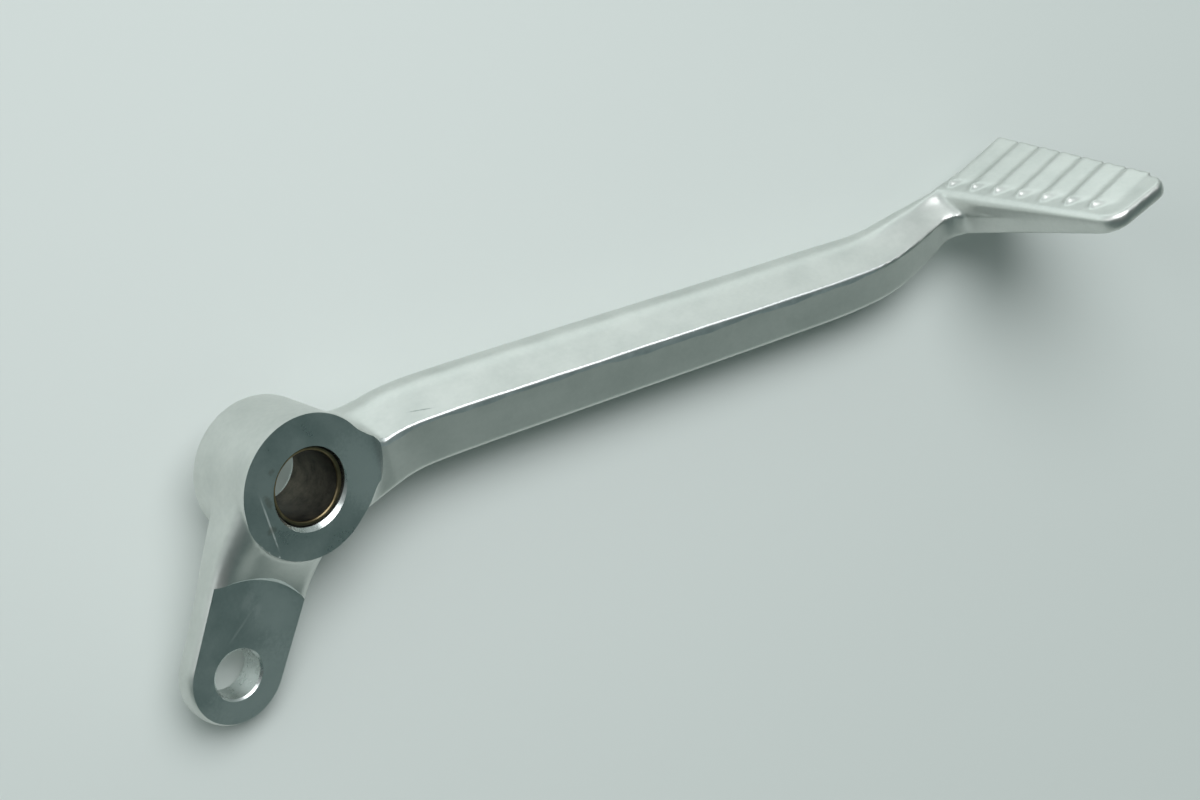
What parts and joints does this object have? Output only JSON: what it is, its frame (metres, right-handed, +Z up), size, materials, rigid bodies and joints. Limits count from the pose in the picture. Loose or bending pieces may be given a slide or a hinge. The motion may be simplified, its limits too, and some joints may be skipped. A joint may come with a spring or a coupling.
{
  "type": "brake pedal",
  "caption": "Forged aluminium rear brake pedal of a motorbike, with a bushed pivot boss, a cranked arm, a ribbed toe pad and a short lower arm with a pin hole.",
  "frame": {"origin": "centre of the pivot bore, half way along the boss", "axes": "+X forward from the pivot to the toe pad, +Y inboard along the pivot bore, +Z up, square to the tread"},
  "size_m": [0.1864, 0.0839, 0.0446],
  "materials": {
    "forged_aluminium": "satin",
    "bush_bronze": "dull"
  },
  "bodies": {
    "root": {"pedal_lever": "forged_aluminium", "pivot_bush": "bush_bronze"}
  },
  "joints": []
}
